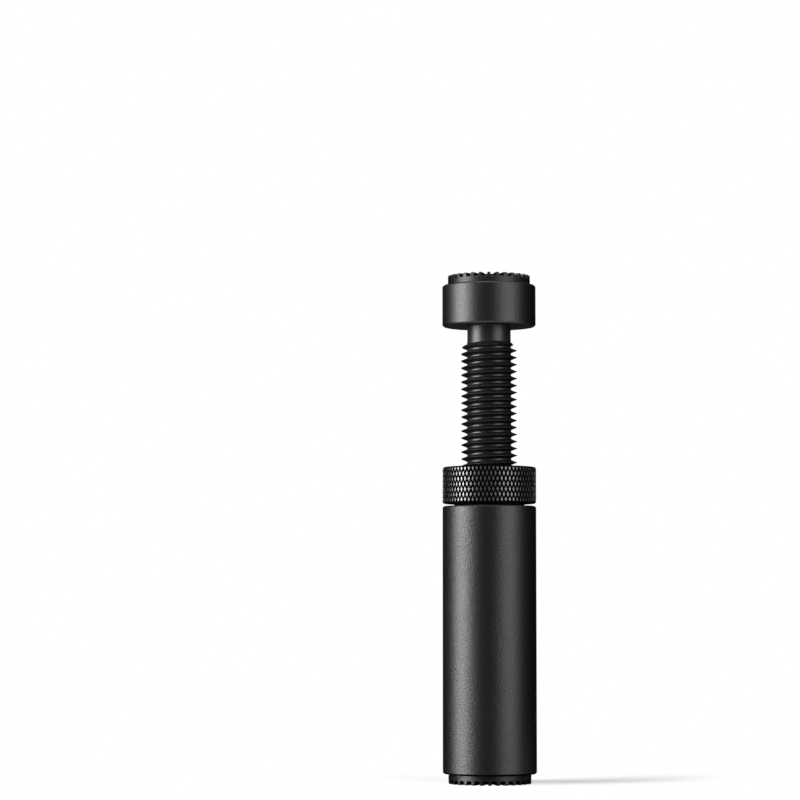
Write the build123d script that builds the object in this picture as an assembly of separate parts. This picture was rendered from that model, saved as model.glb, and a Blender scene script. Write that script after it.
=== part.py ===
from build123d import *
import math
import os

# Height-adjustable support bracket for a graphics card, in millimetres.
# A round base tube stands on a ribbed foot pad. A knurled ring turns on the tube's rim, and the
# screw that runs through it rises or drops without turning, with a second pad on its head.
# The origin is on the floor under the axis, and +Z is up.

# Barrel
body_diameter = 20.0
tube_length = 56.8
head_height = 8.8
rim_bevel = 0.3

# Pads, one under the tube and one on the head
pad_inset = 1.2
pad_thickness = 2.1
pad_rib_height = 0.8
pad_rib_count = 30
pad_groove_angle = 7.2
pad_hub_diameter = 10.0

# Magnet in the base, above the foot pad
magnet_diameter = 12.0
magnet_thickness = 3.0
magnet_clearance = 0.05

# Screw, with its travel down and up from the height shown
thread_diameter = 12.0
thread_pitch = 1.5
thread_depth = 1.3
thread_facets = 30
neck_relief = 0.05
neck_length = 3.4
screw_drop = 30.0
screw_rise = 4.5
screw_guide = 4.0
screw_tip_room = 0.5
head_gap = 0.2

# Bore in the tube, where the screw slides
bore_clearance = 0.15

# Knurled adjusting ring
ring_height = 7.8
ring_rim_gap = 0.55
ring_land_wall = 1.3
ring_edge = 0.45
ring_running_clearance = 0.05
ring_thread_clearance = 0.2
knurl_columns = 70
knurl_row_step = 1.11
knurl_end_margin = 0.5
knurl_depth = 0.3

# Radii and levels that follow
body_radius = body_diameter / 2
pad_radius = body_radius - pad_inset
magnet_pocket_radius = magnet_diameter / 2 + magnet_clearance
crest_radius = thread_diameter / 2
root_radius = crest_radius - thread_depth
neck_radius = root_radius - neck_relief
bore_radius = crest_radius + bore_clearance
ring_crest_radius = crest_radius + ring_thread_clearance
ring_root_radius = root_radius + ring_thread_clearance
ring_land_radius = ring_crest_radius + ring_land_wall

tube_base_z = pad_thickness
tube_top_z = tube_base_z + tube_length
ring_base_z = tube_top_z + ring_rim_gap
ring_top_z = ring_base_z + ring_height
head_base_z = ring_top_z + head_gap + screw_drop
head_top_z = head_base_z + head_height
thread_top_z = head_base_z - neck_length
screw_tip_z = tube_top_z - screw_rise - screw_guide
bore_floor_z = screw_tip_z - screw_drop - screw_tip_room


def turned(*outline):
    """Solid turned about Z from (radius, height) points that start and end on the axis."""
    return revolve(Plane.XZ * make_face(Polyline(*outline, close=True)), Axis.Z)


def plug(radius, bottom, top):
    """Plain round plug between two levels."""
    return turned((0, bottom), (radius, bottom), (radius, top), (0, top))


def faceted(outlines):
    """Closed solid of flat faces."""
    return Solid(Shell([Face(Wire.make_polygon(outline)) for outline in outlines]))


def ribbed_pad():
    """Anti-slip pad with its flat back at z = 0 and radial ribs on top."""
    back_thickness = pad_thickness - pad_rib_height
    hub_radius = pad_hub_diameter / 2
    slope = math.tan(math.radians(pad_groove_angle / 2))
    reach = 2 * pad_radius
    groove = make_face(Polyline(
        (hub_radius, -hub_radius * slope),
        (reach, -reach * slope),
        (reach, reach * slope),
        (hub_radius, hub_radius * slope),
        close=True,
    ))
    tread = Circle(pad_radius) - PolarLocations(0, pad_rib_count) * groove
    ribs = Pos(0, 0, back_thickness) * extrude(tread, pad_rib_height)
    return plug(pad_radius, 0, back_thickness) + ribs


def base_tube():
    """Round column with the screw's bore from above and the magnet's pocket from below."""
    column = turned(
        (0, tube_base_z),
        (body_radius - rim_bevel, tube_base_z),
        (body_radius, tube_base_z + rim_bevel),
        (body_radius, tube_top_z - rim_bevel),
        (body_radius - rim_bevel, tube_top_z),
        (0, tube_top_z),
    )
    bore = plug(bore_radius, bore_floor_z, tube_top_z)
    pocket_top_z = tube_base_z + magnet_thickness + magnet_clearance
    pocket = plug(magnet_pocket_radius, tube_base_z, pocket_top_z)
    return column - bore - pocket


def base_magnet():
    """Disc magnet that lies on the foot pad's back."""
    return plug(magnet_diameter / 2, tube_base_z, tube_base_z + magnet_thickness)


def threaded_rod(root, crest, bottom, top):
    """Right-hand V thread in flat facets, bevelled towards bottom and top, on a core that runs past both."""
    first_turn = math.floor(bottom / thread_pitch) - 1
    last_turn = math.ceil(top / thread_pitch) + 1
    steps = (last_turn - first_turn) * thread_facets

    def height(step):
        """Level that many facets along the helix, the same for every rod, so that two of them mesh."""
        return (first_turn + step / thread_facets) * thread_pitch

    def at(radius, step, level):
        angle = 2 * math.pi * (step % thread_facets) / thread_facets
        return (radius * math.cos(angle), radius * math.sin(angle), level)

    def valley(step):
        return at(root, step, height(step))

    def ridge(step):
        level = height(step) + thread_pitch / 2
        bevel = max(min(level - bottom, top - level), 0)
        return at(min(crest, root + bevel), step, level)

    outlines = []
    for step in range(steps):
        a, b = valley(step), valley(step + 1)
        c, d = ridge(step), ridge(step + 1)
        e, f = valley(step + thread_facets), valley(step + 1 + thread_facets)
        outlines += [[a, b, d], [a, d, c], [c, d, f], [c, f, e]]
    for start, tip in ((0, 0), (steps, steps + thread_facets)):
        point = (0, 0, height(tip))
        turn = range(start, start + thread_facets)
        outlines += [[valley(step), valley(step + 1), point] for step in turn]
        outlines.append([point, valley(start), ridge(start), valley(start + thread_facets)])
    return faceted(outlines)


def lift_screw():
    """One-piece turned screw: thread with bevelled ends, plain neck and round head."""
    rod = threaded_rod(root_radius, crest_radius, screw_tip_z, thread_top_z)
    head = turned(
        (0, thread_top_z),
        (neck_radius, thread_top_z),
        (neck_radius, head_base_z),
        (body_radius - rim_bevel, head_base_z),
        (body_radius, head_base_z + rim_bevel),
        (body_radius, head_top_z - rim_bevel),
        (body_radius - rim_bevel, head_top_z),
        (0, head_top_z),
    )
    return (rod & plug(body_radius, screw_tip_z, thread_top_z)) + head


def knurled_blank():
    """Ring blank whose side is a lattice of diamond points between crossing grooves."""
    row_count = math.floor((ring_height - 2 * knurl_end_margin) / knurl_row_step) + 1
    first_row_z = ring_base_z + (ring_height - (row_count - 1) * knurl_row_step) / 2
    row_levels = [first_row_z + row * knurl_row_step for row in range(row_count)]
    levels = [ring_base_z] + row_levels + [ring_top_z]
    rims = (0, row_count + 1)
    steps = 2 * knurl_columns

    def node(step, row):
        """Lattice point: diamond points and groove crossings alternate, and a rim has half as many."""
        radius = body_radius if (step + row) % 2 else body_radius - knurl_depth
        if row in rims:
            radius = body_radius - ring_edge
            step -= step % 2
        angle = 2 * math.pi * (step % steps) / steps
        return (radius * math.cos(angle), radius * math.sin(angle), levels[row])

    outlines = [[node(step, rim) for step in range(0, steps, 2)] for rim in rims]
    for row in range(row_count + 1):
        for step in range(steps):
            corners = [node(step, row), node(step + 1, row), node(step + 1, row + 1), node(step, row + 1)]
            if (step + row) % 2:
                corners = corners[1:] + corners[:1]
            a, b, c, d = corners
            outlines += [side for side in ([a, b, c], [a, c, d]) if len(set(side)) == 3]
    return faceted(outlines)


def adjusting_ring():
    """Knurled nut that bears on the tube's rim by a narrow land."""
    land_base_z = tube_top_z + ring_running_clearance
    land = plug(ring_land_radius, land_base_z, ring_top_z)
    thread_ends = (land_base_z - thread_pitch, ring_top_z + thread_pitch)
    return knurled_blank() + land - threaded_rod(ring_root_radius, ring_crest_radius, *thread_ends)


parts = {
    "base_tube": base_tube(),
    "base_magnet": base_magnet(),
    "foot_pad": Pos(0, 0, pad_thickness) * Rot(180, 0, 0) * ribbed_pad(),
    "adjusting_ring": adjusting_ring(),
    "lift_screw": lift_screw(),
    "top_pad": Pos(0, 0, head_top_z) * ribbed_pad(),
}

os.makedirs("parts", exist_ok=True)
for name, shape in parts.items():
    export_step(shape, os.path.join("parts", f"{name}.step"))
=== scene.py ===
import functools
import math

import bmesh
import bpy
from mathutils import Matrix, Vector


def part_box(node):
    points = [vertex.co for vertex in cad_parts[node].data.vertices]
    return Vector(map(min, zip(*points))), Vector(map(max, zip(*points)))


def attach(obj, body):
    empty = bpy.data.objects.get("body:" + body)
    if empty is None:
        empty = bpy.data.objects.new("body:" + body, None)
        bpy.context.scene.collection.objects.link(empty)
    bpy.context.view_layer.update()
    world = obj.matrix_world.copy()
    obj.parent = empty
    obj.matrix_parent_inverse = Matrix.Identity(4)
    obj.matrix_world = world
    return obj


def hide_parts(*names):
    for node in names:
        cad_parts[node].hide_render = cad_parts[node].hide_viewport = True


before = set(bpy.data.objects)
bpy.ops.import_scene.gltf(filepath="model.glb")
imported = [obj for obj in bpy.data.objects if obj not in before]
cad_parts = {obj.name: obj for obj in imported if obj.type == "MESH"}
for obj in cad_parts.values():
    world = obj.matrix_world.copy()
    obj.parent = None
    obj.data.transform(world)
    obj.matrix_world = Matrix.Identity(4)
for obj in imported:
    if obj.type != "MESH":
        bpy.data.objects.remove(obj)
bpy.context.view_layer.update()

bl_info = {
    "name": "Support Bracket Looks",
    "version": (1, 0, 0),
    "blender": (4, 5, 0),
    "location": "View3D > Sidebar > Bracket",
    "description": "Dresses the support bracket: tube, screw, ring, pads, magnet and stage",
    "category": "Object",
}

TUBE_LOW, TUBE_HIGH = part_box("base_tube")
RING_LOW, RING_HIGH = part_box("adjusting_ring")
SCREW_LOW, SCREW_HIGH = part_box("lift_screw")
FOOT_LOW, FOOT_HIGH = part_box("foot_pad")
TOP_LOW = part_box("top_pad")[0]
MAGNET_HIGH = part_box("base_magnet")[1]

MM = 0.001
DEGREE = math.pi / 180
FULL_TURN = 2 * math.pi
# Points nearer than this are one point
WELD = 1e-6
# Straight runs keep a point this near to a rounding, so that their shading stays straight
HOLD = 0.04 * MM
# Steps round the arc of a turned edge
ARC_STEPS = 4
# Faces across one pitch of the thread, and how far they gather where its profile bends
THREAD_ROWS = 20
THREAD_GATHER = 0.8
# Depths under the knurl's tops where the finish is dull and painted near-black as shade, and where
# it is bright, in knurl depths
KNURL_DULL_AND_SHADED, KNURL_BRIGHT = 0.14, 0.03
# Facets of the ring's plain blank to a diamond, and how far it clears the diamonds' tops
BLANK_FACETS = 3
BLANK_CLEARANCE = HOLD / 4
# Half the width of a pad groove's wall, as a share of half the groove
GROOVE_WALL = 0.12
# Width of the slope from a pad's hub to its grooves, in roundings of the pad's edges
HUB_SLOPE = 3
# Steps across a groove's wall and across that slope
SLOPE_STEPS = 6
# Grain of a cut surface, as a share of a blasted one's
CUT_GRAIN = 0.6
# Sockets of a Mix node that mixes colours
MIX_MASK, MIX_FIRST, MIX_SECOND, MIX_RESULT = 0, 6, 7, 2
FLOOR_FACETS = 96
# Where the floor starts and ends its run into the backdrop, as shares of its radius
FLOOR_FADE = (0.45, 0.97)
# How far out metal does not mirror the floor, which is painted dark to it as shade, in radii of the
# tube
FLOOR_SHADE_REACH = 8
# Soft edge of the backdrop, in half widths
BACKDROP_EDGE = (1.2, 0.8)
# Soft edges of the room's other patches, as parts of a heading of length 1
REAR_EDGE = (0.65, 0.9)
DOME_EDGE = (0.55, 0.85)
HORIZON_EDGE = (-0.06, 0.04)


def kind_of(make, **settings):
    """Function for properties of one kind, each with its name, description and default."""

    def new_property(name, description, default):
        return make(name=name, description=description, default=default, **settings)

    return new_property


length = kind_of(bpy.props.FloatProperty, min=0, precision=5, subtype="DISTANCE", unit="LENGTH")
angle = kind_of(bpy.props.FloatProperty, subtype="ANGLE", unit="ROTATION")
count = kind_of(bpy.props.IntProperty, min=3)
share = kind_of(bpy.props.FloatProperty, min=0, max=1, subtype="FACTOR")
colour = kind_of(bpy.props.FloatVectorProperty, min=0, max=1, size=3, subtype="COLOR")
# Brightness, where 1 is white
strength = kind_of(bpy.props.FloatProperty, min=0)


class BracketSizes(bpy.types.PropertyGroup):
    """Sizes of the bracket's pieces."""

    body_radius: length("Body radius", "Radius of the tube and the head", TUBE_HIGH.x)
    rim_bevel: length("Rim bevel", "Bevel on the rims of the tube and the head", 0.3 * MM)
    edge_round: length("Edge round", "Rounding that blasting leaves on turned edges", 0.07 * MM)
    round_facets: count("Facets round", "Facets round the turned pieces", 128)
    bore_radius: length("Bore radius", "Radius of the tube's bore", 6.15 * MM)
    bore_floor: length("Bore floor", "Level of the bore's floor", 19.9 * MM)
    pocket_clearance: length("Pocket clearance", "Play round and over the magnet", 0.05 * MM)

    thread_crest: length("Thread crest", "Outer radius of the screw's thread", 6.0 * MM)
    thread_depth: length("Thread depth", "Depth of the thread", 1.3 * MM)
    thread_pitch: length("Thread pitch", "Rise of the thread in one turn", 1.5 * MM)
    thread_clearance: length("Thread clearance", "Radial play of screw and ring", 0.2 * MM)
    thread_root_flat: share("Root flat", "Width of the root, as a share of the pitch", 0.28)
    thread_root_round: share("Root round", "Rounding of the root, as a share of the depth", 0.3)
    thread_crest_flat: share("Crest flat", "Flattening of the crest, as a share of the depth", 0.08)
    thread_crest_round: share("Crest round", "Rounding of the crest, as a share of the depth", 0.12)
    neck_radius: length("Neck radius", "Radius of the plain neck under the head", 4.65 * MM)
    neck_length: length("Neck length", "Length of the plain neck", 3.4 * MM)
    head_height: length("Head height", "Height of the head", 8.8 * MM)

    ring_land_radius: length("Land radius", "Radius of the ring's land on the tube", 7.5 * MM)
    ring_land_height: length("Land height", "Height of the land under the ring", 0.5 * MM)
    ring_top_round: length("Ring top round", "Rounding of the ring's upper edge", 0.5 * MM)
    ring_low_bevel: length("Ring lower bevel", "Bevel of the ring's lower edge", 0.3 * MM)
    knurl_columns: count("Knurl columns", "Diamonds in one row round the ring", 70)
    knurl_row_step: length("Knurl row step", "Distance between two staggered rows", 1.11 * MM)
    knurl_depth: length("Knurl depth", "Depth of the grooves between the diamonds", 0.3 * MM)
    knurl_flat: share("Knurl flat", "Width of a diamond's flat top, as a share of its pitch", 0.48)

    pad_radius: length("Pad radius", "Radius of the two pads", FOOT_HIGH.x)
    pad_rib_height: length("Rib height", "Height of the pads' ribs", 0.8 * MM)
    pad_rib_count: count("Ribs", "Ribs round a pad", 30)
    pad_groove_angle: angle("Groove angle", "Angle that a groove spans", 7.2 * DEGREE)
    pad_hub_radius: length("Hub radius", "Radius of a pad's plain hub inside its ribs", 5.0 * MM)
    pad_edge_round: length("Pad edge round", "Rounding of the moulded edges", 0.16 * MM)


class BracketFinish(bpy.types.PropertyGroup):
    """Colours and surfaces of the bracket's finishes."""

    anodised: colour("Anodised black", "Tint of the anodised aluminium", (0.085, 0.085, 0.087))
    anodised_edge: colour("Rim tint", "Tint of reflections near the outline", (0.15, 0.15, 0.15))
    blasted_roughness: share("Blasted roughness", "Roughness of the tube and the head", 0.37)
    turned_roughness: share("Turned roughness", "Roughness of the neck and the thread", 0.37)
    knurl_roughness: share("Knurl roughness", "Roughness of the diamonds' flat tops", 0.39)
    knurl_top: colour("Knurl tops", "Tint of the diamonds' flat tops", (0.245, 0.245, 0.25))
    grain_size: length("Grain size", "Size of the grain that blasting leaves", 0.25 * MM)
    rubber: colour("Pad rubber", "Colour of the moulded pads", (0.004, 0.004, 0.0042))
    rubber_roughness: share("Rubber roughness", "Roughness of the moulded pads", 0.4)
    rubber_sheen: share("Rubber sheen", "Sheen on the open faces of the pads", 0.72)
    nickel: colour("Nickel", "Tint of the magnet's plating", (0.62, 0.61, 0.58))


class BracketStage(bpy.types.PropertyGroup):
    """Camera, floor and light."""

    eye_distance: length("Eye distance", "Distance of the camera from the bracket's axis", 0.6415)
    eye_height: length("Eye height", "Height of the camera over the floor", 0.0365)
    lens: bpy.props.FloatProperty(
        name="Lens", description="Focal length in mm on a 36 mm sensor", default=135.0
    )
    look_up: angle("Look up", "How far the camera looks up", 4.03 * DEGREE)
    look_left: angle("Look left", "How far the camera looks to the left", 1.706 * DEGREE)
    key_bearing: angle("Key bearing", "Left softbox's bearing from the camera", 72.0 * DEGREE)
    key_width: angle("Key width", "Angle that the left softbox spans", 36.0 * DEGREE)
    key_level: strength("Key level", "Brightness of the left softbox", 6.3)
    fill_bearing: angle("Fill bearing", "Right softbox's bearing from the camera", 49.5 * DEGREE)
    fill_width: angle("Fill width", "Angle that the right softbox spans", 41.0 * DEGREE)
    fill_level: strength("Fill level", "Brightness of the right softbox", 1.75)
    softbox_distance: length("Softbox distance", "Distance of the two softboxes", 1.4)
    softbox_height: length("Softbox height", "Height of the two softboxes", 2.2)
    softbox_drop: length("Softbox drop", "How far the softboxes reach below the floor", 0.2)
    top_level: strength("Top level", "Brightness of the softbox overhead", 0.6)
    top_width: length("Top width", "Width of the softbox overhead", 0.9)
    room_level: strength("Room level", "Brightness of the unlit room", 0.05)
    floor_radius: length("Floor radius", "Radius of the round white floor", 0.045)
    floor_side: length("Floor side", "How far its middle lies to the right of the bracket", 0.012)
    floor_back: length("Floor back", "How far its middle lies behind the bracket", 0.0315)
    floor_lift: length("Floor lift", "How far it is raised off the plane of the foot", 0.02 * MM)
    floor_glow: share("Floor glow", "Share of the floor's white that needs no lamp", 0.367)
    floor_paint: share("Floor paint", "Brightness of the floor's paint under the lamps", 1.0)
    rear_level: strength("Rear level", "Brightness of the room behind, as metal shows it", 0.3)
    dome_level: strength("Dome level", "Brightness above and below, as metal shows it", 1.0)
    backdrop_half_width: angle("Backdrop", "Half the angle that the backdrop spans", 10.0 * DEGREE)


def feed(tree, value, socket):
    """Links a socket to another one, or sets it to a plain value."""
    if isinstance(value, bpy.types.NodeSocket):
        tree.links.new(value, socket)
    else:
        socket.default_value = value


def feed_node(tree, node, **inputs):
    """Feeds a node's inputs by name, with underscores for spaces."""
    for name, value in inputs.items():
        feed(tree, value, node.inputs[name.replace("_", " ")])


def add_node(tree, kind, settings=None, **inputs):
    """New node of a kind, with its settings and its inputs by name."""
    node = tree.nodes.new(kind)
    for name, value in (settings or {}).items():
        setattr(node, name, value)
    feed_node(tree, node, **inputs)
    return node


def output(tree, kind, settings=None, **inputs):
    """First output of a new node."""
    return add_node(tree, kind, settings, **inputs).outputs[0]


def calc(tree, operation, *values):
    """Result of a Math node on sockets and numbers."""
    node = add_node(tree, "ShaderNodeMath", {"operation": operation})
    for value, socket in zip(values, node.inputs):
        feed(tree, value, socket)
    return node.outputs[0]


def ramp(tree, value, start, end, at_start=0.0, at_end=1.0, smooth=False):
    """Level that runs from at_start to at_end as a value goes from start to end."""
    return output(
        tree,
        "ShaderNodeMapRange",
        {"interpolation_type": "SMOOTHSTEP" if smooth else "LINEAR"},
        Value=value,
        From_Min=start,
        From_Max=end,
        To_Min=at_start,
        To_Max=at_end,
    )


def round_axis(tree, radius, bearing, level):
    """Point at a radius and a bearing round Z."""
    return output(
        tree,
        "ShaderNodeCombineXYZ",
        X=calc(tree, "MULTIPLY", radius, calc(tree, "COSINE", bearing)),
        Y=calc(tree, "MULTIPLY", radius, calc(tree, "SINE", bearing)),
        Z=level,
    )


def add_interface(tree, inputs, outputs):
    """Adds sockets by name and kind, and returns the tree's inputs by name and its output node."""
    for direction, sockets in (("INPUT", inputs), ("OUTPUT", outputs)):
        for name, kind in sockets.items():
            tree.interface.new_socket(name, in_out=direction, socket_type=f"NodeSocket{kind}")
    given = tree.nodes.new("NodeGroupInput")
    return {name: given.outputs[name] for name in inputs}, tree.nodes.new("NodeGroupOutput")


def built_once(name, kind):
    """Makes a function that fills a tree into one that returns the tree of a name, filled once."""

    def wrap(fill):
        @functools.wraps(fill)
        def named_tree():
            tree = bpy.data.node_groups.get(name)
            if not tree:
                tree = bpy.data.node_groups.new(name, kind)
                fill(tree)
            return tree

        return named_tree

    return wrap


def new_object(name, data):
    """Object for a mesh, lamp or camera, linked to the scene at the origin."""
    piece = bpy.data.objects.new(name, data)
    bpy.context.scene.collection.objects.link(piece)
    return piece


def new_mesh(name, edit):
    """Mesh from an edited one, with its doubles merged."""
    bmesh.ops.remove_doubles(edit, verts=edit.verts, dist=WELD)
    mesh = bpy.data.meshes.new(name)
    edit.to_mesh(mesh)
    edit.free()
    return mesh


def settle(piece):
    """Turns a piece with its modifiers into a plain mesh."""
    depsgraph = bpy.context.evaluated_depsgraph_get()
    mesh = bpy.data.meshes.new_from_object(piece.evaluated_get(depsgraph))
    piece.modifiers.clear()
    piece.data = mesh


def grow(piece, tree, **inputs):
    """Runs a geometry tree on a piece, with its inputs by name, and keeps the plain mesh."""
    modifier = piece.modifiers.new(tree.name, "NODES")
    modifier.node_group = tree
    for item in tree.interface.items_tree:
        key = item.name.lower().replace(" ", "_")
        if item.in_out == "INPUT" and key in inputs:
            modifier[item.identifier] = inputs[key]
    settle(piece)


def close_up(piece, sharp_angle=35 * DEGREE):
    """Welds a piece's seams, points its faces outwards and shades it smooth up to an angle."""
    mesh = piece.data
    edit = bmesh.new()
    edit.from_mesh(mesh)
    bmesh.ops.remove_doubles(edit, verts=edit.verts, dist=WELD)
    bmesh.ops.dissolve_degenerate(edit, dist=WELD / 10, edges=edit.edges)
    bmesh.ops.recalc_face_normals(edit, faces=edit.faces)
    open_edges = sum(not edge.is_manifold for edge in edit.edges)
    edit.to_mesh(mesh)
    edit.free()
    if open_edges:
        raise RuntimeError(f"{piece.name} has {open_edges} open edges")
    mesh.shade_smooth()
    mesh.set_sharp_from_angle(angle=sharp_angle)


def stand_for(piece, node, body):
    """Gives a finished piece its place in the frame."""
    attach(piece, body)
    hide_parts(node)


def rounded(*corners):
    """Outline through (radius, level, rounding) corners, with an arc where there is a rounding."""
    outline = []
    for index, (radius, level, rounding) in enumerate(corners):
        here = Vector((radius, level))
        if not rounding:
            outline.append(here)
            continue
        back = (Vector(corners[index - 1][:2]) - here).normalized()
        ahead = (Vector(corners[index + 1][:2]) - here).normalized()
        half = back.angle(ahead) / 2
        cut = rounding / math.tan(half)
        centre = here + (back + ahead).normalized() * rounding / math.sin(half)
        start = (here + back * cut - centre).normalized()
        end = (here + ahead * cut - centre).normalized()
        outline.append(here + back * (cut + HOLD))
        for step in range(ARC_STEPS + 1):
            outline.append(centre + rounding * start.slerp(end, step / ARC_STEPS))
        outline.append(here + ahead * (cut + HOLD))
    return outline


def turned_mesh(name, sections, facets):
    """Mesh of (outline, material index) sections turned about Z, where they may start or end."""
    edit = bmesh.new()
    for outline, material_index in sections:
        rings = []
        for radius, level in outline:
            points = facets if radius > WELD else 1
            turns = [FULL_TURN * point / facets for point in range(points)]
            rings.append([
                edit.verts.new((radius * math.cos(turn), radius * math.sin(turn), level))
                for turn in turns
            ])
        for low, high in zip(rings, rings[1:]):
            for point in range(facets):
                after = (point + 1) % facets
                places = ((low, point), (low, after), (high, after), (high, point))
                corners = [ring[step % len(ring)] for ring, step in places]
                face = edit.faces.new(list(dict.fromkeys(corners)))
                face.material_index = material_index
    return new_mesh(name, edit)


@built_once("helical thread", "GeometryNodeTree")
def thread_tree(tree):
    """Geometry tree for a right-hand thread between two levels, which fades to its root at both."""
    sizes = ("Root Radius", "Crest Radius", "Pitch", "Bottom", "Top")
    sizes += ("Root Flat", "Root Round", "Crest Flat", "Crest Round")
    inputs = {"Geometry": "Geometry"} | {name: "Float" for name in sizes}
    inputs |= {"Facets": "Int", "Rows": "Int", "Material": "Material"}
    given, result = add_interface(tree, inputs, {"Geometry": "Geometry"})
    root, pitch, bottom, top = (given[name] for name in ("Root Radius", "Pitch", "Bottom", "Top"))
    facets = given["Facets"]

    # A strip of faces as long as all the turns, and as wide as one pitch
    first_turn = calc(tree, "SUBTRACT", calc(tree, "FLOOR", calc(tree, "DIVIDE", bottom, pitch)), 1)
    last_turn = calc(tree, "ADD", calc(tree, "CEIL", calc(tree, "DIVIDE", top, pitch)), 1)
    steps = calc(tree, "MULTIPLY", calc(tree, "SUBTRACT", last_turn, first_turn), facets)
    strip = add_node(
        tree,
        "GeometryNodeMeshGrid",
        Vertices_X=calc(tree, "ADD", steps, 1),
        Vertices_Y=calc(tree, "ADD", given["Rows"], 1),
    )
    along = add_node(tree, "ShaderNodeSeparateXYZ", Vector=strip.outputs["UV Map"])
    step = calc(tree, "ROUND", calc(tree, "MULTIPLY", along.outputs["X"], steps))
    turn = calc(tree, "DIVIDE", step, facets)
    row = along.outputs["Y"]
    # Rows lie closer together at the roots and the crest, where the profile bends
    sway = calc(tree, "SINE", calc(tree, "MULTIPLY", row, 2 * FULL_TURN))
    across = calc(tree, "MULTIPLY_ADD", sway, -THREAD_GATHER / (2 * FULL_TURN), row)
    turns_up = calc(tree, "ADD", calc(tree, "ADD", first_turn, turn), across)
    level = calc(tree, "MULTIPLY", turns_up, pitch)

    # Its profile, from 0 in the root to 1 on the crest
    rise = calc(tree, "PINGPONG", calc(tree, "MULTIPLY", across, 2), 1)
    rise = calc(tree, "SUBTRACT", rise, given["Root Flat"])
    rise = calc(tree, "DIVIDE", rise, calc(tree, "SUBTRACT", 1, given["Root Flat"]))
    rise = calc(tree, "SMOOTH_MAX", rise, 0, given["Root Round"])
    rise = calc(tree, "MULTIPLY", rise, calc(tree, "ADD", given["Crest Flat"], 1))
    rise = calc(tree, "SMOOTH_MIN", rise, 1, given["Crest Round"])
    depth = calc(tree, "SUBTRACT", given["Crest Radius"], root)
    full_radius = calc(tree, "MULTIPLY_ADD", rise, depth, root)

    # Near an end the crest stands no further out than the end is away
    above, below = calc(tree, "SUBTRACT", level, bottom), calc(tree, "SUBTRACT", top, level)
    room = calc(tree, "MAXIMUM", calc(tree, "MINIMUM", above, below), 0)
    height = calc(tree, "MINIMUM", calc(tree, "SUBTRACT", full_radius, root), room)
    place = round_axis(
        tree,
        radius=calc(tree, "ADD", root, height),
        bearing=calc(tree, "MULTIPLY", calc(tree, "FRACT", turn), FULL_TURN),
        level=calc(tree, "MINIMUM", calc(tree, "MAXIMUM", level, bottom), top),
    )
    wound = output(tree, "GeometryNodeSetPosition", Geometry=strip.outputs["Mesh"], Position=place)
    dyed = output(tree, "GeometryNodeSetMaterial", Geometry=wound, Material=given["Material"])
    both = add_node(tree, "GeometryNodeJoinGeometry")
    tree.links.new(dyed, both.inputs[0])
    tree.links.new(given["Geometry"], both.inputs[0])
    welded = output(tree, "GeometryNodeMergeByDistance", Geometry=both.outputs[0], Distance=WELD)
    whole = output(tree, "GeometryNodeRealizeInstances", Geometry=welded)
    feed_node(tree, result, Geometry=whole)


def put_out(tree, geometry, material, result):
    """Ends a geometry tree: welds what it made and gives it its material."""
    welded = output(tree, "GeometryNodeMergeByDistance", Geometry=geometry, Distance=WELD)
    dyed = output(tree, "GeometryNodeSetMaterial", Geometry=welded, Material=material)
    feed_node(tree, result, Geometry=dyed)


@built_once("diamond knurl", "GeometryNodeTree")
def knurl_tree(tree):
    """Geometry tree that sets diamonds in staggered rows and bends them round a cylinder."""
    inputs = {"Geometry": "Geometry", "Columns": "Int", "Rows": "Int", "Radius": "Float"}
    inputs |= {"Row Step": "Float", "First Level": "Float", "Material": "Material"}
    given, result = add_interface(tree, inputs, {"Geometry": "Geometry"})
    columns, radius = given["Columns"], given["Radius"]

    total = calc(tree, "MULTIPLY", columns, given["Rows"])
    points = output(tree, "GeometryNodeMeshLine", Count=total)
    index = output(tree, "GeometryNodeInputIndex")
    row = calc(tree, "FLOOR", calc(tree, "DIVIDE", index, columns))
    stagger = calc(tree, "MULTIPLY", calc(tree, "MODULO", row, 2), 0.5)
    column = calc(tree, "ADD", calc(tree, "MODULO", index, columns), stagger)
    pitch = calc(tree, "DIVIDE", calc(tree, "MULTIPLY", radius, FULL_TURN), columns)
    spot = output(
        tree,
        "ShaderNodeCombineXYZ",
        X=calc(tree, "MULTIPLY", column, pitch),
        Z=calc(tree, "MULTIPLY_ADD", row, given["Row Step"], given["First Level"]),
    )
    lattice = output(tree, "GeometryNodeSetPosition", Geometry=points, Position=spot)
    diamonds = output(
        tree, "GeometryNodeInstanceOnPoints", Points=lattice, Instance=given["Geometry"]
    )
    flat = output(tree, "GeometryNodeRealizeInstances", Geometry=diamonds)

    position = output(tree, "GeometryNodeInputPosition")
    here = add_node(tree, "ShaderNodeSeparateXYZ", Vector=position).outputs
    bent = round_axis(
        tree,
        radius=calc(tree, "ADD", radius, here["Y"]),
        bearing=calc(tree, "DIVIDE", here["X"], radius),
        level=here["Z"],
    )
    wrapped = output(tree, "GeometryNodeSetPosition", Geometry=flat, Position=bent)
    put_out(tree, wrapped, given["Material"], result)


@built_once("sector round", "GeometryNodeTree")
def round_tree(tree):
    """Geometry tree that repeats a sector all the way round Z."""
    inputs = {"Geometry": "Geometry", "Count": "Int", "Material": "Material"}
    given, result = add_interface(tree, inputs, {"Geometry": "Geometry"})
    points = output(tree, "GeometryNodeMeshLine", Count=given["Count"], Offset=(0, 0, 0))
    index = output(tree, "GeometryNodeInputIndex")
    bearing = calc(tree, "DIVIDE", calc(tree, "MULTIPLY", index, FULL_TURN), given["Count"])
    sectors = output(
        tree,
        "GeometryNodeInstanceOnPoints",
        Points=points,
        Instance=given["Geometry"],
        Rotation=output(tree, "ShaderNodeCombineXYZ", Z=bearing),
    )
    whole = output(tree, "GeometryNodeRealizeInstances", Geometry=sectors)
    put_out(tree, whole, given["Material"], result)


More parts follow.
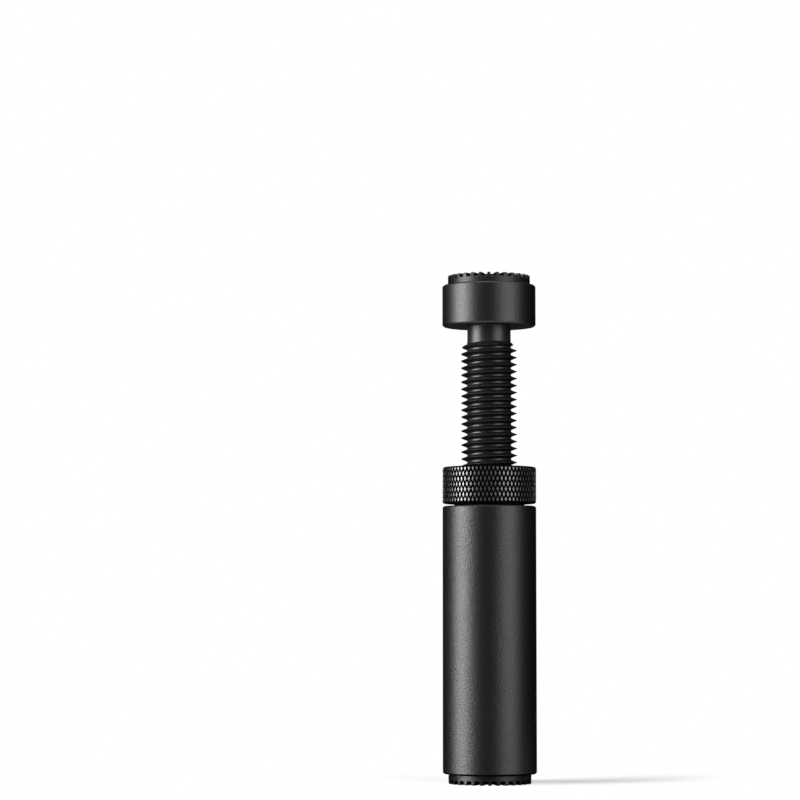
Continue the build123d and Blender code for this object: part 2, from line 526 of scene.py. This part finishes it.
@built_once("surface grain", "ShaderNodeTree")
def grain_group(tree):
    """Shader group: fine even grain of a blasted or moulded surface, as a height and as speckle."""
    inputs = {"Vector": "Vector", "Grain Size": "Float"}
    given, result = add_interface(tree, inputs, {"Height": "Float", "Speckle": "Float"})
    coarse_share, coarse_scale = 0.25, 0.4
    scale = calc(tree, "DIVIDE", 1, given["Grain Size"])
    pits = output(
        tree, "ShaderNodeTexNoise", Vector=given["Vector"], Scale=scale, Detail=2.0, Roughness=0.6
    )
    coarse = output(
        tree,
        "ShaderNodeTexNoise",
        Vector=given["Vector"],
        Scale=calc(tree, "MULTIPLY", scale, coarse_scale),
        Detail=1.0,
    )
    fine_part = calc(tree, "MULTIPLY", pits, 1 - coarse_share)
    feed_node(
        tree,
        result,
        Height=calc(tree, "MULTIPLY_ADD", coarse, coarse_share, fine_part),
        Speckle=ramp(tree, pits, start=0.32, end=0.68),
    )


@built_once("handling marks", "ShaderNodeTree")
def handling_group(tree):
    """Shader group: faint uneven patches that handling leaves, as a mask."""
    inputs = {"Vector": "Vector", "Patch Size": "Float"}
    given, result = add_interface(tree, inputs, {"Mask": "Float"})
    patches = output(
        tree,
        "ShaderNodeTexNoise",
        Vector=given["Vector"],
        Scale=calc(tree, "DIVIDE", 1, given["Patch Size"]),
        Detail=3.0,
        Distortion=0.6,
    )
    feed_node(tree, result, Mask=ramp(tree, patches, start=0.45, end=0.7, smooth=True))


@built_once("radial reach", "ShaderNodeTree")
def reach_group(tree):
    """Shader group: 0 at an inner radius round Z and 1 at an outer one, as a mask."""
    inputs = {"Vector": "Vector", "Inner": "Float", "Outer": "Float"}
    given, result = add_interface(tree, inputs, {"Mask": "Float"})
    flat = add_node(tree, "ShaderNodeVectorMath", {"operation": "MULTIPLY"})
    feed(tree, given["Vector"], flat.inputs[0])
    feed(tree, (1, 1, 0), flat.inputs[1])
    radius = add_node(tree, "ShaderNodeVectorMath", {"operation": "LENGTH"})
    feed(tree, flat.outputs[0], radius.inputs[0])
    mask = ramp(tree, radius.outputs["Value"], given["Inner"], given["Outer"], smooth=True)
    feed_node(tree, result, Mask=mask)


def place_group(tree, group, **inputs):
    """Outputs of a shader group, with its inputs by name."""
    return add_node(tree, "ShaderNodeGroup", {"node_tree": group}, **inputs).outputs


def handling_marks(tree, where, size):
    """Mask of handling marks with patches of a size."""
    return place_group(tree, handling_group(), Vector=where, Patch_Size=size)["Mask"]


def radial_reach(tree, where, inner, outer):
    """Mask from an inner radius to an outer one."""
    return place_group(tree, reach_group(), Vector=where, Inner=inner, Outer=outer)["Mask"]


def new_material(name):
    """Material with its tree, its shader and its Object coordinates."""
    material = bpy.data.materials.new(name)
    material.use_nodes = True
    tree = material.node_tree
    where = tree.nodes.new("ShaderNodeTexCoord").outputs["Object"]
    return material, tree, tree.nodes["Principled BSDF"], where


def scaled(tint, factor):
    """A colour made darker or lighter."""
    return [factor * part for part in tint]


def paint(tree, shader, mask, first, second):
    """Base colour that goes from one colour to another by a mask."""
    mix = add_node(tree, "ShaderNodeMix", {"data_type": "RGBA"})
    feed(tree, mask, mix.inputs[MIX_MASK])
    feed(tree, (*first, 1), mix.inputs[MIX_FIRST])
    feed(tree, (*second, 1), mix.inputs[MIX_SECOND])
    feed_node(tree, shader, Base_Color=mix.outputs[MIX_RESULT])


def roughen(tree, shader, mask, first, second):
    """Roughness that goes from one value to another by a mask."""
    feed_node(tree, shader, Roughness=ramp(tree, mask, 0, 1, first, second))


def lay_grain(tree, shader, where, size, relief):
    """Gives a finish its grain, as relief of a real depth, and returns the grain's speckle."""
    grain = place_group(tree, grain_group(), Vector=where, Grain_Size=size)
    bump = output(tree, "ShaderNodeBump", Height=grain["Height"], Distance=relief)
    feed_node(tree, shader, Normal=bump)
    return grain["Speckle"]


def dulled(tree, gloss, marks, part):
    """Gloss mask that is lower by a part where there are handling marks."""
    return calc(tree, "MULTIPLY_ADD", marks, -part, gloss)


def fade_out(tree, start, end):
    """Mask that falls from 1 to 0 as a surface turns away, by how far it faces sideways."""
    facing = add_node(tree, "ShaderNodeLayerWeight", Blend=0.5).outputs["Facing"]
    return ramp(tree, facing, start, end, at_start=1, at_end=0)


def blasted_anodise(finish):
    """Bead-blasted black anodised aluminium of the tube and the head."""
    material, tree, shader, where = new_material("blasted black anodise")
    speckle = lay_grain(tree, shader, where, size=finish.grain_size, relief=0.07 * MM)
    marks = handling_marks(tree, where, size=9 * MM)
    paint(tree, shader, speckle, scaled(finish.anodised, 0.85), scaled(finish.anodised, 1.15))
    gloss = dulled(tree, speckle, marks, part=0.3)
    middle, spread = finish.blasted_roughness, 0.03
    roughen(tree, shader, gloss, middle + spread, middle - spread)
    feed_node(tree, shader, Metallic=1.0, Specular_Tint=(*finish.anodised_edge, 1))
    return material


def turned_anodise(finish, root, crest):
    """Smoother turned anodise of the thread and the neck, with a painted highlight in the roots and
    painted shade toward the crests.
    """
    material, tree, shader, where = new_material("turned black anodise")
    grain_size = CUT_GRAIN * finish.grain_size
    speckle = lay_grain(tree, shader, where, size=grain_size, relief=0.008 * MM)
    # Tint painted brighter in the roots and darker toward the crests: a painted highlight in the
    # roots and painted shade on the flanks
    height = radial_reach(tree, where, inner=root, outer=crest)
    paint(tree, shader, height, scaled(finish.anodised, 1.1), scaled(finish.anodised, 0.9))
    middle, spread = finish.turned_roughness, 0.03
    roughen(tree, shader, speckle, middle + spread, middle - spread)
    feed_node(tree, shader, Metallic=0.8, Specular_Tint=(*finish.anodised_edge, 1))
    return material


def knurled_anodise(finish, groove, top):
    """Anodise of the ring: smooth bright diamond tops over dull grooves that are painted near-black
    as shade, with painted shade toward the outline.
    """
    material, tree, shader, where = new_material("knurled black anodise")
    grain_size = CUT_GRAIN * finish.grain_size
    speckle = lay_grain(tree, shader, where, size=grain_size, relief=0.003 * MM)
    tops = radial_reach(tree, where, inner=groove, outer=top)
    # Colour and metal fall to the grooves' near-black toward the outline: painted shade by how far
    # the surface faces sideways
    bright = calc(tree, "MULTIPLY", tops, fade_out(tree, start=0.38, end=0.58))
    # The grooves' tint, far darker than the anodise elsewhere, is painted shade in the grooves; the
    # lighter tops are real polish
    paint(tree, shader, bright, scaled(finish.anodised, 0.08), finish.knurl_top)
    speckle_part, groove_roughness = 0.1, 0.5
    gloss = calc(tree, "MULTIPLY_ADD", speckle, speckle_part, tops)
    roughen(tree, shader, gloss, groove_roughness, finish.knurl_roughness)
    edge_tint = (*scaled(finish.anodised_edge, 0.4), 1)
    feed_node(tree, shader, Metallic=bright, Specular_IOR_Level=0.0, Specular_Tint=edge_tint)
    return material


def moulded_rubber(finish):
    """Matt moulded rubber of the two pads, with a sheen on its open faces that is painted out in
    the grooves and toward the outline as shade.
    """
    material, tree, shader, where = new_material("moulded black rubber")
    speckle = lay_grain(tree, shader, where, size=1.2 * finish.grain_size, relief=0.02 * MM)
    marks = handling_marks(tree, where, size=4 * MM)
    paint(tree, shader, marks, finish.rubber, scaled(finish.rubber, 1.7))
    gloss = dulled(tree, speckle, marks, part=0.4)
    middle, spread = finish.rubber_roughness, 0.06
    roughen(tree, shader, gloss, middle + spread, middle - spread)
    # Occlusion takes the sheen out of the grooves: painted shade in the grooves
    painted_groove_shade_ao = add_node(
        tree, "ShaderNodeAmbientOcclusion", {"only_local": True, "samples": 16}, Distance=0.8 * MM
    )
    outside_painted_groove_shade = ramp(tree, painted_groove_shade_ao.outputs["AO"], start=0.6, end=0.95)
    # The sheen also dies toward the outline: painted shade by how far the surface faces sideways
    sheen = calc(tree, "MULTIPLY", fade_out(tree, start=0.3, end=0.7), outside_painted_groove_shade)
    sheen = calc(tree, "MULTIPLY", sheen, finish.rubber_sheen)
    feed_node(tree, shader, Specular_IOR_Level=sheen)
    return material


def plated_nickel(finish):
    """Bright nickel plating of the magnet, with a fine orange peel."""
    material, tree, shader, where = new_material("plated nickel")
    lay_grain(tree, shader, where, size=3 * finish.grain_size, relief=0.01 * MM)
    marks = handling_marks(tree, where, size=5 * MM)
    paint(tree, shader, marks, finish.nickel, scaled(finish.nickel, 0.85))
    clean_roughness, touched_roughness = 0.18, 0.32
    roughen(tree, shader, marks, clean_roughness, touched_roughness)
    feed_node(tree, shader, Metallic=1.0)
    return material


class BRACKET_OT_tube(bpy.types.Operator):
    """Builds the base tube with its bore, magnet pocket and bevelled rims"""

    bl_idname = "bracket.tube"
    bl_label = "Base tube"

    def execute(self, context):
        sizes = context.scene.bracket_sizes
        radius, bevel, soft = sizes.body_radius, sizes.rim_bevel, sizes.edge_round
        low, high = TUBE_LOW.z, TUBE_HIGH.z
        pocket_radius = MAGNET_HIGH.x + sizes.pocket_clearance
        pocket_top = MAGNET_HIGH.z + sizes.pocket_clearance
        outline = rounded(
            (0, pocket_top, 0),
            (pocket_radius, pocket_top, 0),
            (pocket_radius, low, soft),
            (radius - bevel, low, soft),
            (radius, low + bevel, soft),
            (radius, high - bevel, soft),
            (radius - bevel, high, soft),
            (sizes.bore_radius, high, soft),
            (sizes.bore_radius, sizes.bore_floor, 0),
            (0, sizes.bore_floor, 0),
        )
        mesh = turned_mesh("tube", [(outline, 0)], sizes.round_facets)
        mesh.materials.append(blasted_anodise(context.scene.bracket_finish))
        tube = new_object("tube", mesh)
        close_up(tube)
        stand_for(tube, "base_tube", "base")
        return {"FINISHED"}


def wind_thread(piece, sizes, crest, bottom, top, material):
    """Winds the bracket's thread round a piece, out to a crest radius and between two levels."""
    grow(
        piece,
        thread_tree(),
        root_radius=crest - sizes.thread_depth,
        crest_radius=crest,
        pitch=sizes.thread_pitch,
        bottom=bottom,
        top=top,
        root_flat=sizes.thread_root_flat,
        root_round=sizes.thread_root_round,
        crest_flat=sizes.thread_crest_flat,
        crest_round=sizes.thread_crest_round,
        facets=sizes.round_facets,
        rows=THREAD_ROWS,
        material=material,
    )
    close_up(piece)


class BRACKET_OT_screw(bpy.types.Operator):
    """Builds the lift screw: thread, neck and head in one piece"""

    bl_idname = "bracket.screw"
    bl_label = "Lift screw"

    def execute(self, context):
        sizes = context.scene.bracket_sizes
        radius, bevel, soft = sizes.body_radius, sizes.rim_bevel, sizes.edge_round
        neck, crest = sizes.neck_radius, sizes.thread_crest
        root = crest - sizes.thread_depth
        tip, top = SCREW_LOW.z, SCREW_HIGH.z
        head_base = top - sizes.head_height
        thread_top = head_base - sizes.neck_length
        tip_face = [Vector((0, tip)), Vector((root, tip))]
        # The turned finish runs on under the head, nearly out to its rim
        neck_side = rounded(
            (root, thread_top, 0),
            (neck, thread_top, 0),
            (neck, head_base, 2 * soft),
            (2 * neck, head_base, 0),
        )
        head_side = rounded(
            (2 * neck, head_base, 0),
            (radius - bevel, head_base, soft),
            (radius, head_base + bevel, soft),
            (radius, top - bevel, soft),
            (radius - bevel, top, soft),
            (0, top, 0),
        )
        sections = [(tip_face, 1), (neck_side, 1), (head_side, 0)]
        mesh = turned_mesh("screw", sections, sizes.round_facets)
        turned = turned_anodise(context.scene.bracket_finish, root, crest)
        mesh.materials.append(bpy.data.materials["blasted black anodise"])
        mesh.materials.append(turned)
        screw = new_object("screw", mesh)
        wind_thread(screw, sizes, crest, tip, thread_top, turned)
        stand_for(screw, "lift_screw", "screw")
        return {"FINISHED"}


def diamond_mesh(width, height, depth, flat):
    """One flat-topped knurl diamond, lying in XZ with its top at y = 0."""
    edit = bmesh.new()
    rings = []
    for size, drop in ((flat, 0.0), (1.0, depth)):
        tips = ((size / 2, 0), (0, size / 2), (-size / 2, 0), (0, -size / 2))
        rings.append([edit.verts.new((across * width, -drop, up * height)) for across, up in tips])
    top, foot = rings
    edit.faces.new(top)
    for corner in range(4):
        after = (corner + 1) % 4
        edit.faces.new([top[corner], foot[corner], foot[after], top[after]])
    return new_mesh("knurl diamond", edit)


def cap_ends(piece):
    """Closes the two open ends of a piece with fans to the axis."""
    edit = bmesh.new()
    edit.from_mesh(piece.data)
    rim = [edge for edge in edit.edges if edge.is_boundary]
    middle = sum(vert.co.z for edge in rim for vert in edge.verts) / (2 * len(rim))
    for above in (False, True):
        end = [edge for edge in rim if (edge.verts[0].co.z > middle) == above]
        level = max(vert.co.z for edge in end for vert in edge.verts)
        centre = edit.verts.new((0, 0, level))
        for edge in end:
            edit.faces.new((*edge.verts, centre))
    bmesh.ops.recalc_face_normals(edit, faces=edit.faces)
    edit.to_mesh(piece.data)
    edit.free()


def trim(piece, tool, operation):
    """Cuts a piece with a tool, which is then removed."""
    modifier = piece.modifiers.new("trim", "BOOLEAN")
    modifier.operation = operation
    modifier.solver = "EXACT"
    modifier.object = tool
    settle(piece)
    bpy.data.objects.remove(tool)


def knurled_bar(sizes, low, high, material):
    """Solid bar with the ring's knurl, longer at both ends than from low to high."""
    radius, row_step = sizes.body_radius, sizes.knurl_row_step
    side_rows = math.floor((high - low) / (2 * row_step)) + 1
    pitch = FULL_TURN * radius / sizes.knurl_columns
    diamond = diamond_mesh(pitch, 2 * row_step, sizes.knurl_depth, sizes.knurl_flat)
    bar = new_object("ring", diamond)
    grow(
        bar,
        knurl_tree(),
        columns=sizes.knurl_columns,
        rows=2 * side_rows + 1,
        radius=radius,
        row_step=row_step,
        first_level=(low + high) / 2 - side_rows * row_step,
        material=material,
    )
    cap_ends(bar)
    return bar


def plain_nut(sizes, low, high, material):
    """The ring without its knurl: eased rims, the land under it and the internal thread."""
    wall, soft = sizes.body_radius + BLANK_CLEARANCE, sizes.edge_round
    outline = rounded(
        (0, RING_LOW.z, 0),
        (sizes.ring_land_radius, RING_LOW.z, soft),
        (sizes.ring_land_radius, low, 0),
        (wall - sizes.ring_low_bevel, low, soft),
        (wall, low + sizes.ring_low_bevel, soft),
        (wall, high, sizes.ring_top_round),
        (0, high, 0),
    )
    facets = BLANK_FACETS * sizes.knurl_columns
    nut = new_object("nut", turned_mesh("nut", [(outline, 0)], facets))
    close_up(nut)

    crest = sizes.thread_crest + sizes.thread_clearance
    root = crest - sizes.thread_depth
    # The tap runs past both ends, so that its thread has its full depth all through the nut
    past = 2 * sizes.thread_pitch
    bottom, top = RING_LOW.z - past, high + past
    ends = [([Vector((0, level)), Vector((root, level))], 0) for level in (bottom, top)]
    tap = new_object("tap", turned_mesh("tap", ends, sizes.round_facets))
    wind_thread(tap, sizes, crest, bottom, top, material)
    trim(nut, tap, "DIFFERENCE")
    close_up(nut)
    return nut


class BRACKET_OT_ring(bpy.types.Operator):
    """Builds the adjusting ring: diamond knurl, eased rims, land and internal thread"""

    bl_idname = "bracket.ring"
    bl_label = "Adjusting ring"

    def execute(self, context):
        sizes = context.scene.bracket_sizes
        low, high = RING_LOW.z + sizes.ring_land_height, RING_HIGH.z
        material = knurled_anodise(
            context.scene.bracket_finish,
            groove=sizes.body_radius - KNURL_DULL_AND_SHADED * sizes.knurl_depth,
            top=sizes.body_radius - KNURL_BRIGHT * sizes.knurl_depth,
        )
        ring = knurled_bar(sizes, low, high, material)
        trim(ring, plain_nut(sizes, low, high, material), "INTERSECT")
        ring.data.materials.clear()
        ring.data.materials.append(material)
        for face in ring.data.polygons:
            face.material_index = 0
        close_up(ring)
        stand_for(ring, "adjusting_ring", "ring")
        return {"FINISHED"}


def ease(value, low, high):
    """Smooth step from 0 at low to 1 at high."""
    part = min(max((value - low) / (high - low), 0), 1)
    return part * part * (3 - 2 * part)


def rib_sector(sizes, thickness):
    """One groove with half a rib at each side, from the pad's flat back at z = 0 to its tread."""
    half_groove = sizes.pad_groove_angle / 2
    half_sector = math.pi / sizes.pad_rib_count
    wall = GROOVE_WALL * half_groove
    wall_steps = range(1, SLOPE_STEPS + 1)
    bearings = [0.0, half_groove - wall]
    bearings += [half_groove - wall + 2 * wall * step / SLOPE_STEPS for step in wall_steps]
    bearings += [half_sector]
    bearings = [-bearing for bearing in reversed(bearings[1:])] + bearings
    edge, hub, radius = sizes.pad_edge_round, sizes.pad_hub_radius, sizes.pad_radius
    slope = HUB_SLOPE * edge
    hub_steps = [hub + slope / 2 - slope * step / SLOPE_STEPS for step in range(SLOPE_STEPS + 1)]

    def tread(bearing, reach):
        """Level of the tread."""
        on_groove = 1 - ease(abs(bearing), half_groove - wall, half_groove + wall)
        outside_hub = ease(reach, hub_steps[-1], hub_steps[0])
        return thickness - sizes.pad_rib_height * on_groove * outside_hub

    edit = bmesh.new()
    columns = []
    for bearing in bearings:
        rim_level = tread(bearing, radius)
        rim = rounded((0, 0, 0), (radius, 0, edge), (radius, rim_level, edge), (0, rim_level, 0))
        outline = [(point.x, point.y) for point in rim[:-1]]
        outline += [(reach, tread(bearing, reach)) for reach in (hub + slope, *hub_steps)]
        outline += [(hub_steps[-1] - HOLD, thickness), (0, thickness)]
        columns.append([
            edit.verts.new((reach * math.cos(bearing), reach * math.sin(bearing), level))
            for reach, level in outline
        ])
    for left, right in zip(columns, columns[1:]):
        for row in range(len(left) - 1):
            edit.faces.new((left[row], right[row], right[row + 1], left[row + 1]))
    return new_mesh("rib sector", edit)


class BRACKET_OT_pads(bpy.types.Operator):
    """Builds the ribbed rubber pads under the tube and on the head"""

    bl_idname = "bracket.pads"
    bl_label = "Pads"

    def execute(self, context):
        sizes = context.scene.bracket_sizes
        rubber = moulded_rubber(context.scene.bracket_finish)
        thickness = FOOT_HIGH.z - FOOT_LOW.z
        upright = Matrix.Translation((0, 0, TOP_LOW.z))
        flipped = Matrix.Translation((0, 0, FOOT_HIGH.z)) @ Matrix.Rotation(math.pi, 4, "X")
        for name, node, body, place in (
            ("pad_under_tube", "foot_pad", "base", flipped),
            ("pad_on_head", "top_pad", "screw", upright),
        ):
            pad = new_object(name, rib_sector(sizes, thickness))
            grow(pad, round_tree(), count=sizes.pad_rib_count, material=rubber)
            pad.data.transform(place)
            close_up(pad, sharp_angle=50 * DEGREE)
            stand_for(pad, node, body)
        return {"FINISHED"}


class BRACKET_OT_magnet(bpy.types.Operator):
    """Plates the magnet in the base with nickel"""

    bl_idname = "bracket.magnet"
    bl_label = "Magnet"

    def execute(self, context):
        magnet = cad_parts["base_magnet"]
        magnet.data.materials.clear()
        magnet.data.materials.append(plated_nickel(context.scene.bracket_finish))
        return {"FINISHED"}


def ray_kinds(tree):
    """Light Path's camera rays, and the rays that metal or glass has mirrored or let through."""
    rays = tree.nodes.new("ShaderNodeLightPath").outputs
    mirrored = calc(tree, "MAXIMUM", rays["Is Glossy Ray"], rays["Is Transmission Ray"])
    return rays["Is Camera Ray"], mirrored


def floor_material(stage):
    """White floor that keeps the bracket's shadow and runs into the backdrop further out; near the
    bracket it is painted dark to mirrored rays as shade.
    """
    material, tree, shader, where = new_material("white floor")
    start, end = (part * stage.floor_radius for part in FLOOR_FADE)
    spread = radial_reach(tree, where, inner=start, outer=end)
    from_axis = add_node(tree, "ShaderNodeVectorMath", {"operation": "ADD"})
    feed(tree, where, from_axis.inputs[0])
    feed(tree, (stage.floor_side, stage.floor_back, 0), from_axis.inputs[1])
    clear = radial_reach(
        tree, from_axis.outputs[0], inner=TUBE_HIGH.x, outer=FLOOR_SHADE_REACH * TUBE_HIGH.x
    )
    camera, mirrored = ray_kinds(tree)
    # Near the bracket the floor is painted black to metal's mirrored rays: painted shade in the
    # bracket's reflections
    painted_shade_to_mirrors = calc(tree, "MULTIPLY", mirrored, calc(tree, "SUBTRACT", 1, clear))
    shown = calc(tree, "MAXIMUM", camera, calc(tree, "SUBTRACT", mirrored, painted_shade_to_mirrors))
    glow_only_or_painted_shade = calc(tree, "MAXIMUM", spread, painted_shade_to_mirrors)
    paint(tree, shader, glow_only_or_painted_shade, [stage.floor_paint] * 3, [0, 0, 0])
    glow = ramp(tree, spread, 0, 1, at_start=stage.floor_glow, at_end=1)
    # The camera sees through the floor from below
    underside = tree.nodes.new("ShaderNodeNewGeometry").outputs["Backfacing"]
    see_through = calc(tree, "MULTIPLY", camera, underside)
    feed_node(
        tree,
        shader,
        Roughness=1.0,
        Specular_IOR_Level=0.0,
        Emission_Color=calc(tree, "MULTIPLY", glow, shown),
        Emission_Strength=1.0,
        Alpha=calc(tree, "SUBTRACT", 1, see_through),
    )
    return material


def light_the_room(stage):
    """World: white to the camera, and to metal a dim room with bright patches."""
    world = bpy.data.worlds.new("studio")
    world.use_nodes = True
    tree = world.node_tree
    generated = tree.nodes.new("ShaderNodeTexCoord").outputs["Generated"]
    heading = add_node(tree, "ShaderNodeSeparateXYZ", Vector=generated).outputs
    upright = calc(tree, "ABSOLUTE", heading["Z"])
    backdrop_edge = [math.cos(part * stage.backdrop_half_width) for part in BACKDROP_EDGE]
    backdrop = ramp(tree, heading["Y"], *backdrop_edge, smooth=True)
    rear = ramp(tree, heading["Y"], *REAR_EDGE, at_end=stage.rear_level, smooth=True)
    dome = ramp(tree, upright, *DOME_EDGE, at_end=stage.dome_level, smooth=True)
    above_floor = ramp(tree, heading["Z"], *HORIZON_EDGE, smooth=True)
    camera, mirrored = ray_kinds(tree)
    behind = calc(tree, "MULTIPLY", calc(tree, "MAXIMUM", backdrop, rear), above_floor)
    seen = calc(tree, "MULTIPLY", mirrored, calc(tree, "MAXIMUM", behind, dome))
    level = calc(tree, "MAXIMUM", calc(tree, "MAXIMUM", camera, seen), stage.room_level)
    feed_node(tree, tree.nodes["Background"], Strength=level, Color=(1, 1, 1, 1))
    bpy.context.scene.world = world


def hang_softbox(name, place, aim, width, height, level):
    """Rectangular softbox that faces a point, with its brightness where 1 is white."""
    lamp = bpy.data.lights.new(name, "AREA")
    lamp.shape = "RECTANGLE"
    lamp.size, lamp.size_y = width, height
    lamp.energy = level * math.pi * width * height
    softbox = new_object(name, lamp)
    softbox.location = place
    softbox.rotation_euler = (aim - place).to_track_quat("-Z", "Y").to_euler()


class BRACKET_OT_stage(bpy.types.Operator):
    """Sets the floor, the light and the camera"""

    bl_idname = "bracket.stage"
    bl_label = "Stage"

    def execute(self, context):
        stage = context.scene.bracket_stage
        context.scene.view_settings.view_transform = "Standard"
        outline = [Vector((stage.floor_radius, 0)), Vector((0, 0))]
        floor = new_object("floor", turned_mesh("floor", [(outline, 0)], FLOOR_FACETS))
        floor.location = (stage.floor_side, stage.floor_back, stage.floor_lift)
        floor.data.materials.append(floor_material(stage))

        light_the_room(stage)
        distance, height = stage.softbox_distance, stage.softbox_height
        middle = Vector((0, 0, height / 2 - stage.softbox_drop))
        for name, bearing, width, level in (
            ("key softbox", -stage.key_bearing, stage.key_width, stage.key_level),
            ("fill softbox", stage.fill_bearing, stage.fill_width, stage.fill_level),
        ):
            place = middle + distance * Vector((math.sin(bearing), -math.cos(bearing), 0))
            hang_softbox(name, place, middle, 2 * distance * math.tan(width / 2), height, level)
        overhead, width = Vector((0, distance / 2, distance)), stage.top_width
        hang_softbox("top softbox", overhead, Vector(), width, width, stage.top_level)

        lens = bpy.data.cameras.new("camera")
        lens.lens = stage.lens
        camera = new_object("camera", lens)
        camera.location = (0, -stage.eye_distance, stage.eye_height)
        camera.rotation_euler = (math.pi / 2 + stage.look_up, 0, stage.look_left)
        context.scene.camera = camera
        return {"FINISHED"}


class BRACKET_PT_panel(bpy.types.Panel):
    """Lists the bracket's operators and settings"""

    bl_idname = "BRACKET_PT_panel"
    bl_label = "Support bracket"
    bl_space_type = "VIEW_3D"
    bl_region_type = "UI"
    bl_category = "Bracket"

    def draw(self, context):
        for operator in OPERATORS:
            self.layout.operator(operator.bl_idname)
        for group in SETTINGS:
            settings = getattr(context.scene, group)
            box = self.layout.box()
            for name in settings.__annotations__:
                box.prop(settings, name)


SETTINGS = {
    "bracket_sizes": BracketSizes,
    "bracket_finish": BracketFinish,
    "bracket_stage": BracketStage,
}
OPERATORS = (
    BRACKET_OT_tube,
    BRACKET_OT_screw,
    BRACKET_OT_ring,
    BRACKET_OT_pads,
    BRACKET_OT_magnet,
    BRACKET_OT_stage,
)
CLASSES = (*SETTINGS.values(), *OPERATORS, BRACKET_PT_panel)


def register():
    for item in CLASSES:
        bpy.utils.register_class(item)
    for name, group in SETTINGS.items():
        setattr(bpy.types.Scene, name, bpy.props.PointerProperty(type=group))


def unregister():
    for name in SETTINGS:
        delattr(bpy.types.Scene, name)
    for item in reversed(CLASSES):
        bpy.utils.unregister_class(item)


def main():
    register()
    bpy.ops.bracket.tube()
    bpy.ops.bracket.screw()
    bpy.ops.bracket.ring()
    bpy.ops.bracket.pads()
    bpy.ops.bracket.magnet()
    bpy.ops.bracket.stage()


if __name__ == "__main__":
    main()
